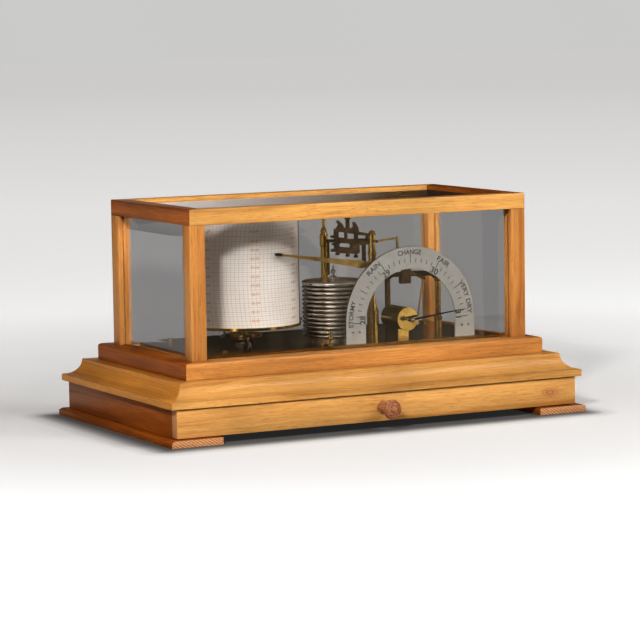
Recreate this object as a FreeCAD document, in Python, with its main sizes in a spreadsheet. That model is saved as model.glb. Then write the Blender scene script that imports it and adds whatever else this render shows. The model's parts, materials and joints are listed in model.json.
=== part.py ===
"""A barograph in a glazed oak case, as a parametric FreeCAD document: a drawer base, a lift-off glazed
cover, a clock drum with its chart, an aneroid stack, a pen arm and a front dial. Millimetres, +Z up,
+X to the right along the front, the origin under the middle of the whole object."""

import FreeCAD
import Part

import math
import os
import re

import Sketcher

SIZES = {
    # oak case; a "step" is how far a member stands out past the glazed cover
    "cover_width": 312.0,
    "cover_depth": 156.0,
    "post_side": 13.5,
    "post_height": 109.0,
    "top_rail_height": 13.0,
    "base_rail_height": 13.5,
    "base_rail_step": 10.4,
    "base_rail_round": 2.0,
    "moulding_step": 34.3,
    "moulding_height": 19.0,
    "moulding_back": 6.0,
    "mitre_room": 60.0,
    "cove_radius": 13.4,
    "box_step_x": 28.9,
    "box_step_y": 32.1,
    "box_height": 24.0,
    "board": 10.0,
    "thin_board": 3.0,
    "gap": 0.6,
    "foot_height": 6.0,
    "foot_width": 45.0,
    "foot_step_x": 36.1,
    "foot_step_y": 37.5,
    "foot_bevel": 3.0,
    # drawer
    "drawer_wall": 6.0,
    "drawer_depth": 176.0,
    "drawer_lift": 3.5,
    "knob_reach": 20.5,
    "knob_radius": 7.8,
    # glass
    "glass": 2.6,
    "glass_crown": 0.4,
    "glass_bevel": 10.5,
    "glass_setback": 4.0,
    "top_glass_setback": 2.0,
    # raised floor and brass plate
    "plate_width": 276.0,
    "plate_depth": 124.0,
    "plate": 3.0,
    "plate_x": 1.0,
    # clock drum
    "drum_x": -72.2,
    "drum_y": 0.0,
    "drum_radius": 46.2,
    "drum_wall": 1.2,
    "drum_height": 91.6,
    "drum_lift": 15.1,
    "flange_radius": 48.0,
    "flange": 2.1,
    "chart_height": 89.0,
    "chart_sheet": 0.38,
    "spindle_radius": 3.0,
    "running_gap": 0.05,
    "gear_module": 0.5,
    "wheel_teeth": 60.0,
    "pinion_teeth": 12.0,
    "gear_face": 2.0,
    "gear_lift": 6.0,
    # aneroid stack
    "stack_x": 3.4,
    "stack_y": -18.0,
    "stack_radius": 26.5,
    "stack_waist": 22.6,
    "capsule_pitch": 3.6,
    "capsule_count": 13.0,
    "stack_foot": 3.0,
    # pillars and bridge
    "rear_pillar_x": 11.9,
    "rear_pillar_y": 14.0,
    "front_pillar_x": 29.0,
    "front_pillar_y": -40.0,
    "bridge_lift": 69.0,
    "bridge_sheet": 3.0,
    "rocker_lift": 83.0,
    "arbor_radius": 1.0,
    # pen arm
    "arm_y": -50.2,
    "arbor_x": 55.2,
    "arbor_lift": 58.3,
    "arm_angle": 9.0,
    "arm_length": 116.7,
    "arm_sheet": 0.5,
    "lever_angle": 24.7,
    "lever_length": 20.8,
    # dial
    "dial_lift": 16.6,
    "dial_y": -57.0,
    "dial_sheet": 1.5,
    "dial_outer": 61.5,
    "dial_inner": 42.9,
    "barrel_radius": 9.8,
    "barrel_wall": 1.4,
    "barrel_front": -53.0,
    "barrel_length": 29.0,
    "crank_length": 13.5,
    "crank_angle": 20.0,
    "hand_angle": 7.0,
    "hand_length": 53.0,
    "cock_y": -22.0,
    "dial_pillar_x": 102.1,
}

# lengths worked out from the cells, for the places where they meet
DERIVED = {
    "case_y": "(box_reach_y + knob_reach - foot_reach_y) / 2",
    "foot_reach_x": "cover_width / 2 + foot_step_x",
    "foot_reach_y": "cover_depth / 2 + foot_step_y",
    "box_reach_x": "cover_width / 2 + box_step_x",
    "box_reach_y": "cover_depth / 2 + box_step_y",
    "moulding_reach_x": "cover_width / 2 + moulding_step",
    "moulding_reach_y": "cover_depth / 2 + moulding_step",
    "rail_reach_x": "cover_width / 2 + base_rail_step",
    "rail_reach_y": "cover_depth / 2 + base_rail_step",
    "well_x": "cover_width / 2 - post_side",
    "well_y": "cover_depth / 2 - post_side",
    "box_top": "foot_height + box_height",
    "deck_top": "box_top + moulding_height",
    "post_foot": "deck_top + base_rail_height",
    "post_top": "post_foot + post_height",
    "plate_top": "post_foot - 0.5 + plate",
}

FUNCTIONS = {"cos", "sin", "tan", "sqrt"}
NODES = {}
ACROSS = FreeCAD.Rotation(FreeCAD.Vector(1, 0, 0), 90)   # turns local +Z to -Y, out of the front

doc = FreeCAD.newDocument("barograph")
sheet = doc.addObject("Spreadsheet::Sheet", "sizes")


def cells(text):
    """The expression with each bare name written as the sheet's cell, or as a formula over cells."""
    def spell(found):
        name = found[0]
        if name in DERIVED:
            return f"({cells(DERIVED[name])})"
        return name if name in FUNCTIONS else "sizes." + name
    return re.sub(r"[a-z]\w*", spell, text)


def fill_sheet():
    """One row a size: its name, its number, and an alias of the same name."""
    for row, (name, number) in enumerate(SIZES.items(), 1):
        sheet.set(f"A{row}", name)
        sheet.set(f"B{row}", str(number))
        sheet.setAlias(f"B{row}", name)
    doc.recompute()


def size(name):
    return float(sheet.get(name))


def bind(thing, **properties):
    """Ties properties to formulas over the sheet's cells."""
    for name, text in properties.items():
        thing.setExpression(name, cells(str(text)))


def place(thing, x="0", y="0", z="0", turn=None):
    """Puts a sub-part in the row's frame; x and y count from the middle of the case."""
    if turn is not None:
        thing.Placement = FreeCAD.Placement(FreeCAD.Vector(), turn)
    thing.setExpression("Placement.Base.x", cells(x))
    thing.setExpression("Placement.Base.y", cells(f"case_y + {y}"))
    thing.setExpression("Placement.Base.z", cells(z))
    return thing


def node(label, thing):
    """Keeps a finished sub-part under its own label."""
    thing.Label = label
    NODES[label] = thing
    return thing


# ---- Part primitives -------------------------------------------------------------------------------

def board(name, x, y, z, length, width, height):
    """A rectangular piece whose lowest corner is at x, y, z."""
    box = doc.addObject("Part::Box", name)
    bind(box, Length=length, Width=width, Height=height)
    return place(box, x, y, z)


def rod(name, x, y, z, radius, length, turn=None):
    """A cylinder that starts at x, y, z and runs along local +Z."""
    cylinder = doc.addObject("Part::Cylinder", name)
    bind(cylinder, Radius=radius, Height=length)
    return place(cylinder, x, y, z, turn)


def ball(name, x, y, z, radius):
    sphere = doc.addObject("Part::Sphere", name)
    bind(sphere, Radius=radius)
    return place(sphere, x, y, z)


def joined(name, pieces):
    """Several pieces in one sub-part: fused where they meet, separate solids where they don't."""
    fuse = doc.addObject("Part::MultiFuse", name)
    fuse.Shapes = pieces
    return fuse


def cut(name, base, tool):
    left = doc.addObject("Part::Cut", name)
    left.Base = base
    left.Tool = tool
    return left


# ---- PartDesign bodies -----------------------------------------------------------------------------

def new_body(name):
    return doc.addObject("PartDesign::Body", name + "_body")


def sketch(body, name, role):
    """A sketch on one of the body's own origin planes."""
    drawn = body.newObject("Sketcher::SketchObject", name)
    plane = next(item for item in body.Origin.OriginFeatures if item.Role == role)
    drawn.AttachmentSupport = (plane, [""])
    drawn.MapMode = "FlatFace"
    return drawn


def hold(drawn, kind, geometry, point, text):
    """Ties one coordinate of a sketch point to a formula."""
    index = drawn.addConstraint(Sketcher.Constraint(kind, -1, 1, geometry, point, 1.0))
    drawn.setExpression(f"Constraints[{index}]", cells(text))


def outline(drawn, points):
    """A closed run of straight lines through the points, each tied to the sheet."""
    first, count = drawn.GeometryCount, len(points)
    ring = [FreeCAD.Vector(math.cos(math.tau * i / count), math.sin(math.tau * i / count), 0)
            for i in range(count)]
    for i in range(count):
        drawn.addGeometry(Part.LineSegment(ring[i], ring[(i + 1) % count]), False)
    for i in range(count):
        drawn.addConstraint(Sketcher.Constraint("Coincident", first + i, 2, first + (i + 1) % count, 1))
    for i, (across, up) in enumerate(points):
        hold(drawn, "DistanceX", first + i, 1, across)
        hold(drawn, "DistanceY", first + i, 1, up)


def circle(drawn, across, up, radius):
    index = drawn.addGeometry(Part.Circle(FreeCAD.Vector(), FreeCAD.Vector(0, 0, 1), 1.0), False)
    hold(drawn, "DistanceX", index, 3, across)
    hold(drawn, "DistanceY", index, 3, up)
    limit = drawn.addConstraint(Sketcher.Constraint("Radius", index, 1.0))
    drawn.setExpression(f"Constraints[{limit}]", cells(radius))


def pad(body, drawn, length, both_ways=False):
    feature = body.newObject("PartDesign::Pad", drawn.Name + "_pad")
    feature.Profile = drawn
    feature.Midplane = both_ways
    bind(feature, Length=length)
    return feature


def pocket(body, drawn):
    """Cuts a sketch right through the body, both ways, and makes sure that something went."""
    doc.recompute()
    before = body.Shape.Volume
    feature = body.newObject("PartDesign::Pocket", drawn.Name + "_pocket")
    feature.Profile = drawn
    feature.Midplane = True
    feature.Type = "ThroughAll"
    doc.recompute()
    if body.Shape.Volume > before - 0.01:
        raise SystemExit(f"{feature.Name} cut nothing")


def turned(name, profile, x="0", y="0", z="0", turn=None):
    """A lathe piece: the profile's points are (radius, height), and it stands on x, y, z."""
    body = new_body(name)
    drawn = sketch(body, name + "_profile", "XZ_Plane")
    outline(drawn, profile)
    spin = body.newObject("PartDesign::Revolution", name + "_turning")
    spin.Profile = drawn
    spin.ReferenceAxis = (drawn, ["V_Axis"])
    spin.Angle = 360
    return place(body, x, y, z, turn)


def stamped(name, points, thickness, x="0", y="0", z="0", turn=None, windows=()):
    """A flat piece in the XZ plane, as thick as stated, centred on its plane, with windows cut in it."""
    body = new_body(name)
    drawn = sketch(body, name + "_outline", "XZ_Plane")
    outline(drawn, points)
    for window in windows:
        outline(drawn, window)
    pad(body, drawn, thickness, both_ways=True)
    return place(body, x, y, z, turn)


def spots(*points):
    """Outline points as the texts a sketch is tied to."""
    return [tuple(str(number) if number >= 0 else f"0 - {-number}" for number in point)
            for point in points]


def with_hole(body, name, role, across, up, radius):
    drawn = sketch(body, name, role)
    circle(drawn, across, up, radius)
    pocket(body, drawn)
    return body


# ---- the case --------------------------------------------------------------------------------------

def foot_screws(name, start):
    """Four countersunk screws up through the feet into the case sides, from a stated height."""
    profile = [("0", start), ("4", start), ("4", "0.5"), ("1.6", "2.9"), ("1.6", "14"), ("0", "15.5")]
    return [turned(f"{name}_{i}", profile, x, y)
            for i, (x, y) in enumerate((x, y) for x in ("board / 2 - box_reach_x", "box_reach_x - board / 2")
                                       for y in ("0 - 80", "80"))]


def make_feet():
    """Two flat strips that run the full depth, chamfered along their outer top edges and countersunk."""
    strips = []
    for side, x in (("left", "0 - foot_reach_x"), ("right", "foot_reach_x - foot_width")):
        body = new_body(f"foot_{side}")
        low, high = ("0", "foot_width") if side == "left" else ("foot_width", "0")
        inward = "foot_bevel" if side == "left" else "foot_width - foot_bevel"
        drawn = sketch(body, f"foot_{side}_section", "XZ_Plane")
        outline(drawn, [(low, "0"), (high, "0"), (high, "foot_height"), (inward, "foot_height"),
                        (low, "foot_height - foot_bevel / 2")])
        pad(body, drawn, "2 * foot_reach_y", both_ways=True)
        strips.append(place(body, x))
    holes = joined("foot_holes", foot_screws("foot_hole", "0 - 1"))
    node("feet", cut("feet_drilled", joined("feet_pair", strips), holes))


def make_box():
    """The drawer box: sides, back, floor, the deck over it and the raised floor on the deck."""
    inside = "box_reach_x - board"
    back = "box_reach_y - board"
    depth = "2 * box_reach_y - board"
    sides = [board(f"side_{side}", x, "board - box_reach_y", "foot_height", "board", depth, "box_height")
             for side, x in (("left", "0 - box_reach_x"), ("right", inside))]
    node("side_boards", joined("side_boards_pair", sides))
    node("back_board", board("back", f"0 - ({inside})", back, "foot_height", f"2 * ({inside})", "board",
                             "box_height"))
    node("bottom_board", board("bottom", f"0 - ({inside})", f"0 - ({back})", "foot_height",
                               f"2 * ({inside})", f"2 * ({back})", "thin_board"))
    node("deck_board", board("deck", "0 - well_x - moulding_back", "0 - well_y - moulding_back", "box_top",
                             "2 * (well_x + moulding_back)", "2 * (well_y + moulding_back)",
                             "moulding_height"))
    node("plinth_board", board("plinth", "1 - well_x", "1 - well_y", "deck_top", "2 * (well_x - 1)",
                               "2 * (well_y - 1)", "base_rail_height - 0.5"))


def mitred(label, half, reach, section, z, turn, cove=False):
    """A straight member of a mitred frame, along local X, with its outer face at Y = -reach. The
    section's points are (how far in from the outer face, height)."""
    body = new_body(label)
    drawn = sketch(body, label + "_section", "YZ_Plane")
    outline(drawn, [(f"{inward} - ({reach})", up) for inward, up in section])
    pad(body, drawn, f"2 * ({half})", both_ways=True)
    if cove:
        hollow = sketch(body, label + "_cove", "YZ_Plane")
        circle(hollow, f"0 - ({reach})", "moulding_height", "cove_radius")
        pocket(body, hollow)
    mitre = sketch(body, label + "_mitre", "XY_Plane")
    for end in ("", "0 - "):
        outline(mitre, [(f"{end}({half} + 1)", f"0 - ({reach}) - 1"),
                        (f"{end}({half} - mitre_room)", f"mitre_room - ({reach})"),
                        (f"{end}({half} + 1)", f"mitre_room - ({reach})")])
    pocket(body, mitre)
    return place(body, z=z, turn=FreeCAD.Rotation(FreeCAD.Vector(0, 0, 1), turn))


SIDES = (("front", "x", "y", 0), ("rear", "x", "y", 180), ("left", "y", "x", -90), ("right", "y", "x", 90))


def make_mouldings():
    """The cove moulding round the deck: a square fillet below and a hollow quarter round above."""
    for side, along, out, turn in SIDES:
        half, reach = f"moulding_reach_{along}", f"moulding_reach_{out}"
        inward = f"{reach} - well_{out} - moulding_back"
        section = [("0", "0"), (inward, "0"), (inward, "moulding_height"), ("0", "moulding_height")]
        label = f"moulding_{side}"
        node(label, mitred(label, half, reach, section, "box_top", turn, cove=True))


# ---- the drawer ------------------------------------------------------------------------------------

def make_drawer():
    """A full-width front that covers the ends of the case sides, and a tray behind it."""
    front = "0 - box_reach_y"
    wall, floor = "drawer_wall", "foot_height + drawer_lift"
    half = "box_reach_x - board - 1"
    start = "board - box_reach_y"
    high = "box_height - drawer_lift - 3"
    node("drawer_front", board("front", "0 - box_reach_x", front, "foot_height + gap", "2 * box_reach_x",
                               "board", "box_height - 2 * gap"))
    walls = [board(f"drawer_{side}", x, start, floor, wall, "drawer_depth", high)
             for side, x in (("left", f"0 - ({half})"), ("right", f"{half} - {wall}"))]
    node("drawer_sides", joined("drawer_sides_pair", walls))
    node("drawer_back", board("tray_back", f"{wall} - ({half})", f"{start} + drawer_depth - {wall}", floor,
                              f"2 * ({half} - {wall})", wall, high))
    node("drawer_bottom", board("tray_floor", f"{wall} - ({half})", start, floor,
                                f"2 * ({half} - {wall})", f"drawer_depth - {wall}", "thin_board"))
    big = "knob_radius"
    reach = "knob_reach"
    profile = [("0", "0"), (f"{big} * 0.68", "0"), (f"{big} * 0.68", f"{reach} * 0.1"),
               (f"{big} * 0.46", f"{reach} * 0.2"), (f"{big} * 0.46", f"{reach} * 0.42"),
               (f"{big} * 0.9", f"{reach} * 0.58"), (big, f"{reach} * 0.7"), (big, f"{reach} * 0.82"),
               (f"{big} * 0.82", f"{reach} * 0.93"), (f"{big} * 0.4", f"{reach} * 0.96"),
               (f"{big} * 0.3", reach), ("0", reach)]
    middle = "foot_height + box_height / 2"
    node("drawer_knob", turned("knob", profile, "0", front, middle, ACROSS))


# ---- the glazed cover ------------------------------------------------------------------------------

def make_cover_frame():
    """Four mitred base rails, four posts and four mitred top rails."""
    wide, tall, round_off = "base_rail_step + post_side", "base_rail_height", "base_rail_round"
    base = [("0", "0"), (wide, "0"), (wide, tall), (round_off, tall),
            (f"{round_off} * 0.3", f"{tall} - {round_off} * 0.3"), ("0", f"{tall} - {round_off}")]
    top = [("0", "0"), ("post_side", "0"), ("post_side", "top_rail_height"), ("0", "top_rail_height")]
    for side, along, out, turn in SIDES:
        rail = mitred(f"base_rail_{side}", f"rail_reach_{along}", f"rail_reach_{out}", base, "deck_top", turn)
        node(f"base_rail_{side}", rail)
        half = {"x": "cover_width / 2", "y": "cover_depth / 2"}
        rail = mitred(f"top_rail_{side}", half[along], half[out], top, "post_top", turn)
        node(f"top_rail_{side}", rail)
    posts = [board(f"post_{i}", x, y, "post_foot", "post_side", "post_side", "post_height")
             for i, (x, y) in enumerate((x, y) for x in ("0 - cover_width / 2", "well_x")
                                        for y in ("0 - cover_depth / 2", "well_y"))]
    node("corner_posts", joined("corner_posts_set", posts))


def bevelled(label, length, height, x, y, z, turn):
    """A pane in the local XZ plane whose outer face, towards -Y, has wide bevelled borders."""
    slab = doc.addObject("Part::Box", label + "_slab")
    bind(slab, Length=length, Width="glass", Height=height)
    crown = doc.addObject("Part::Wedge", label + "_crown")
    bind(crown, Xmin="0", Zmin="0", Ymin="0", Xmax=length, Zmax=height, Ymax="glass_crown",
         X2min="glass_bevel", Z2min="glass_bevel", X2max=f"{length} - glass_bevel",
         Z2max=f"{height} - glass_bevel")
    flip = FreeCAD.Rotation(FreeCAD.Vector(0, 0, 1), 180)
    crown.Placement = FreeCAD.Placement(FreeCAD.Vector(), flip)
    crown.setExpression("Placement.Base.x", cells(length))
    return place(joined(label + "_pane", [slab, crown]), x, y, z, turn)


def make_panes():
    """Five bevelled panes, each set back between the posts and rails."""
    wide, deep, tall = "2 * well_x", "2 * well_y", "post_height"
    inset = "glass_setback + glass_crown"
    flat = FreeCAD.Rotation(FreeCAD.Vector(1, 0, 0), -90)
    walls = (("front", wide, "0 - well_x", f"{inset} - cover_depth / 2", 0),
             ("rear", wide, "well_x", f"cover_depth / 2 - ({inset})", 180),
             ("left", deep, f"{inset} - cover_width / 2", "well_y", -90),
             ("right", deep, f"cover_width / 2 - ({inset})", "0 - well_y", 90))
    for side, length, x, y, turn in walls:
        spin = FreeCAD.Rotation(FreeCAD.Vector(0, 0, 1), turn)
        node(f"pane_{side}", bevelled(f"pane_{side}", length, tall, x, y, "post_foot", spin))
    top = "post_top + top_rail_height - (top_glass_setback + glass_crown)"
    node("pane_top", bevelled("pane_top", wide, deep, "0 - well_x", "0 - well_y", top, flat))


# ---- the movement's floor --------------------------------------------------------------------------

def make_plate():
    """The brass base plate, and the screws that hold it and the feet."""
    half = "plate_depth / 2"
    node("base_plate", board("plate_slab", "plate_x - plate_width / 2", f"0 - {half}", "plate_top - plate",
                             "plate_width", "plate_depth", "plate"))
    screws = []
    spots = [(x, y) for x in (-114.0, 128.0) for y in (-50.0, 50.0)] + [(-25.0, -53.0), (40.0, 52.0)]
    for i, (x, y) in enumerate(spots):
        profile = [("0", "0 - 9"), ("1.2", "0 - 9"), ("1.2", "0"), ("2.7", "0"), ("2.7", "1.3"),
                   ("2.2", "1.9"), ("0", "1.9")]
        screws.append(turned(f"plate_screw_{i}", profile, str(x), str(y), "plate_top"))
    screws += foot_screws("foot_screw", "0.4")
    node("case_screws", joined("case_screw_set", screws))


# ---- the clock drum --------------------------------------------------------------------------------

def make_drum():
    """The drum turns on a fixed spindle. Its own clock drives a pinion round the spindle's wheel."""
    at = ("drum_x", "drum_y")
    lift = "plate_top + drum_lift"
    bore = "spindle_radius + running_gap"
    inner = "drum_radius - drum_wall"
    shell = turned("drum_shell", [(bore, "0"), ("flange_radius", "0"), ("flange_radius", "flange"),
                                  ("drum_radius", "flange"), ("drum_radius", "drum_height"),
                                  (inner, "drum_height"), (inner, "flange"), (bore, "flange")], *at, lift)
    doc.recompute()
    reach = "gear_module * (wheel_teeth + pinion_teeth) / 2"
    node("clock_drum", with_hole(shell, "pinion_hole", "XY_Plane", f"0 - ({reach})", "0",
                                 "arbor_radius + running_gap"))
    rim = "drum_radius + 0.5"
    cap = turned("cap", [("0", "0"), (rim, "0"), (rim, "1.4"), (f"{rim} - 0.8", "2"), ("34", "2"),
                         ("34", "1.5"), ("5", "1.5"), ("5", "2.4"), ("0", "2.4")],
                 *at, f"{lift} + drum_height")
    doc.recompute()
    with_hole(cap, "winding_hole", "XY_Plane", "0 - 20", "0", "3.5")
    node("drum_cap", with_hole(cap, "regulator_hole", "XY_Plane", "18", "12", "2"))
    paper = "drum_radius + 0.02"
    node("chart_paper", turned("chart", [(paper, "0"), (f"{paper} + chart_sheet", "0"),
                                         (f"{paper} + chart_sheet", "chart_height"),
                                         (paper, "chart_height")], *at, f"{lift} + flange + 0.1"))
    strip = doc.addObject("Part::Box", "clip_strip")
    bind(strip, Length="0.5", Width="4", Height="chart_height + 0.2")
    strip.setExpression("Placement.Base.x", cells(f"{paper} + chart_sheet + 0.03"))
    bind(strip, **{"Placement.Base.y": "0 - 2"})
    curl = doc.addObject("Part::Cylinder", "clip_curl")
    bind(curl, Radius="1.1", Height="4")
    curl.Placement = FreeCAD.Placement(FreeCAD.Vector(0, 2, 0), ACROSS)
    bind(curl, **{"Placement.Base.x": f"{paper} + chart_sheet + 1.3", "Placement.Base.z": "2.2"})
    clip = joined("clip", [strip, curl])
    node("chart_clip", place(clip, *at, f"{lift} + flange + 0.1",
                             FreeCAD.Rotation(FreeCAD.Vector(0, 0, 1), -27)))
    make_clock(at, lift, inner, bore, reach)
    node("drum_spindle", turned("spindle", [("0", "0"), ("9", "0"), ("9", "1.6"), ("6", "2.6"),
                                            ("6", "gear_lift"), ("spindle_radius", "gear_lift"),
                                            ("spindle_radius", "drum_lift + drum_height - 5"),
                                            ("1.5", "drum_lift + drum_height - 3"),
                                            ("0", "drum_lift + drum_height - 3")], *at, "plate_top"))
    floor = f"plate_top + gear_lift"
    wheel = gear("fixed_wheel", size("wheel_teeth"), size("spindle_radius") + 0.02, 0.0)
    node("fixed_wheel", place(wheel, *at, floor))
    pinion = gear("drive_pinion", size("pinion_teeth"), 0.0, 0.5)
    arbor = doc.addObject("Part::Cylinder", "pinion_arbor")
    bind(arbor, Radius="arbor_radius", Height="drum_lift - gear_lift + flange + 5")
    node("drive_pinion", place(joined("pinion_set", [pinion, arbor]), f"drum_x - ({reach})", "drum_y", floor))


def make_clock(at, lift, inner, bore, reach):
    """The movement inside the drum: two round plates on pillars, a centre tube and a spring barrel."""
    low, high, sheet_height = "flange + 8", "drum_height - 26", "2"
    post_foot, post_length = f"{low} + {sheet_height}", f"{high} - ({low}) - {sheet_height}"
    rim = f"{inner} - 1"
    hollow = turned("clock_frame", [(bore, "flange"), ("7", "flange"), ("7", low), (rim, low),
                                    (rim, f"{low} + {sheet_height}"), ("4.6", f"{low} + {sheet_height}"),
                                    ("4.6", high), (rim, high), (rim, f"{high} + {sheet_height}"),
                                    ("7", f"{high} + {sheet_height}"), ("7", "drum_height"),
                                    (bore, "drum_height")], *at, lift)
    doc.recompute()
    with_hole(hollow, "clock_pinion_hole", "XY_Plane", f"0 - ({reach})", "0", "3")
    pieces = [hollow]
    for i in range(3):
        turn = math.radians(60 + 120 * i)
        x, y = f"drum_x + {36 * math.cos(turn):.3f}", f"drum_y + {36 * math.sin(turn):.3f}"
        pieces.append(rod(f"clock_pillar_{i}", x, y.replace("+ -", "- "), f"{lift} + {post_foot}", "2.5",
                          post_length))
    pieces.append(rod("spring_barrel", "drum_x + 20", "drum_y - 12", f"{lift} + {post_foot}", "14", post_length))
    node("clock_movement", joined("clock", pieces))


def gear(name, teeth, bore, phase):
    """A spur gear on local Z. Each tooth has straight flanks, thin enough to run with some backlash;
    phase turns it by that part of a tooth."""
    module = size("gear_module")
    pitch = module * teeth / 2
    step = math.tau / teeth
    corners = []
    for tooth in range(int(teeth)):
        middle = (tooth + phase) * step
        for radius, offset in ((pitch - 1.25 * module, -0.3), (pitch + 0.9 * module, -0.12),
                               (pitch + 0.9 * module, 0.12), (pitch - 1.25 * module, 0.3)):
            angle = middle + offset * step
            corners.append(FreeCAD.Vector(radius * math.cos(angle), radius * math.sin(angle), 0))
    face = Part.Face(Part.makePolygon(corners + corners[:1]))
    if bore:
        face = face.cut(Part.Face(Part.Wire(Part.makeCircle(bore))))
    solid = face.extrude(FreeCAD.Vector(0, 0, size("gear_face")))
    feature = doc.addObject("Part::Feature", name)
    feature.Shape = solid.Solids[0]
    return feature


# ---- the aneroid stack -----------------------------------------------------------------------------

def make_stack():
    """Thin corrugated capsules, one on the other, and the little spindle that rides on the top one."""
    at = ("stack_x", "stack_y")
    body = new_body("stack")
    drawn = sketch(body, "capsule_profile", "XZ_Plane")
    waist, rim, pitch = "stack_waist", "stack_radius", "capsule_pitch"
    outline(drawn, [("0", "0"), (waist, "0"), (f"{rim} - 0.6", f"{pitch} * 0.28"), (rim, f"{pitch} * 0.4"),
                    (rim, f"{pitch} * 0.6"), (f"{rim} - 0.6", f"{pitch} * 0.72"), (waist, pitch),
                    ("0", pitch)])
    spin = body.newObject("PartDesign::Revolution", "capsule")
    spin.Profile = drawn
    spin.ReferenceAxis = (drawn, ["V_Axis"])
    spin.Angle = 360
    doc.recompute()
    stack = body.newObject("PartDesign::LinearPattern", "capsules")
    stack.Originals = [spin]
    stack.Direction = (drawn, ["V_Axis"])
    bind(stack, Length="capsule_pitch * (capsule_count - 1)")
    stack.Occurrences = int(size("capsule_count"))
    body.Tip = stack
    place(body, *at, "plate_top + stack_foot")
    tall = "capsule_pitch * capsule_count"
    foot = rod("stack_foot_disc", *at, "plate_top", f"{waist} - 2", "stack_foot")
    head = turned("stack_head", [("0", "0"), (waist, "0"), (rim, "0.4"), (rim, "1.5"), (f"{rim} - 0.7", "1.9"),
                                 ("0", "1.9")], *at, f"plate_top + stack_foot + {tall}")
    node("aneroid_stack", joined("aneroid", [foot, body, head]))
    top = f"plate_top + stack_foot + {tall} + 1.9"
    node("capsule_spindle", turned("spindle_pin", [("0", "0"), ("3.6", "0"), ("3.6", "1"), ("1.2", "2"),
                                                   ("1.2", "3.6"), ("2", "4.4"), ("2.2", "5.4"),
                                                   ("1.6", "6.6"), ("0.7", "7.4"), ("0.7", "10"),
                                                   ("0", "10")], *at, top))


# ---- pillars, bridge and levers --------------------------------------------------------------------

def make_pillars():
    """The turned pillars. The front one carries the bridge and the main lever's arbor."""
    node("rear_pillar", turned("rear_column", [
        ("0", "0"), ("6", "0"), ("6", "2"), ("2.9", "4"), ("2.9", "75.5"), ("3.6", "76.2"), ("3.6", "85"),
        ("1.3", "90"), ("1.3", "101"), ("2.4", "102"), ("2.4", "104"), ("0", "105")],
        "rear_pillar_x", "rear_pillar_y", "plate_top"))
    front = turned("front_column", [
        ("0", "0"), ("4.8", "0"), ("4.8", "24.4"), ("3.6", "27"), ("1.7", "38"), ("1.7", "58"),
        ("3.2", "61"), ("3.2", "71"), ("3.9", "71.6"), ("3.9", "73"), ("3.2", "73.6"), ("3.2", "88"),
        ("2.4", "91"), ("0", "92")], "front_pillar_x", "front_pillar_y", "plate_top")
    doc.recompute()
    node("front_pillar", with_hole(front, "rocker_hole", "XZ_Plane", "0", "rocker_lift",
                                   "arbor_radius + running_gap"))


def make_bridge():
    """The pierced bridge over the stack, fixed to the front pillar, with its screws and finial."""
    windows = [
        spots((-30.9, 18.4), (-24.2, 17.6), (-24.2, 22.2), (-30.9, 22.9)),
        spots((-22.6, 16.9), (-15.0, 15.9), (-15.0, 20.4), (-22.6, 21.3)),
        spots((-12.6, 15.2), (-4.0, 14.0), (-4.0, 18.4), (-12.6, 19.5)),
        spots((-30.6, 11.9), (-29.4, 10.4), (-20.0, 9.2), (-18.6, 10.3), (-19.6, 12.4), (-29.2, 13.6))]
    frame = stamped("bridge", spots(
        (-37, 6.6), (-33, 6.2), (-31, 5.2), (-13.4, 3.6), (-11.2, 4.6), (-11.2, 10.8), (-7.8, 10.4),
        (-7.8, -3), (-5.4, -3), (-5.4, 10.8), (-1.6, 11.6), (-1.6, 20.2), (-6, 21), (-11.4, 22),
        (-12.4, 25.4), (-15, 29.5), (-16.4, 29), (-15.6, 25.8), (-18.4, 24), (-20.4, 25), (-20.4, 31),
        (-22.6, 31), (-22.6, 25.4), (-25.4, 25), (-27, 28.6), (-30.6, 31.6), (-31.6, 30.4),
        (-29.8, 27.8), (-31.6, 25.2), (-34, 24.2), (-34, 20.6), (-37.2, 20), (-37.2, 18.2), (-34, 17.6),
        (-34, 14.2), (-36.2, 13.6), (-36.2, 12), (-34, 11.4), (-34, 9.4), (-37, 8.6)),
        "bridge_sheet", "front_pillar_x", "front_pillar_y + 2.4", "plate_top + bridge_lift",
        windows=windows)
    node("bridge_frame", frame)
    screws = []
    for i, (x, low) in enumerate(((31.4, 3.6), (21.9, 1.8), (14.2, 0.6))):
        profile = [("0", "0"), ("1.9", "0"), ("1.9", "1.6"), ("1", "2.2"), ("1", "4.6"), ("0", "4.6")]
        screws.append(turned(f"hanging_screw_{i}", profile, f"front_pillar_x - {x}",
                             "front_pillar_y + 2.4", f"plate_top + bridge_lift + {low}"))
    finial = [("0", "0"), ("1.4", "0"), ("1.4", "1.4"), ("2.6", "2.2"), ("2.6", "4.4"), ("1.5", "5.6"),
              ("0", "6")]
    screws.append(turned("bridge_finial", finial, "front_pillar_x - 21.5", "front_pillar_y + 2.4",
                         "plate_top + bridge_lift + 30"))
    node("bridge_screws", joined("bridge_screw_set", screws))


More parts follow.
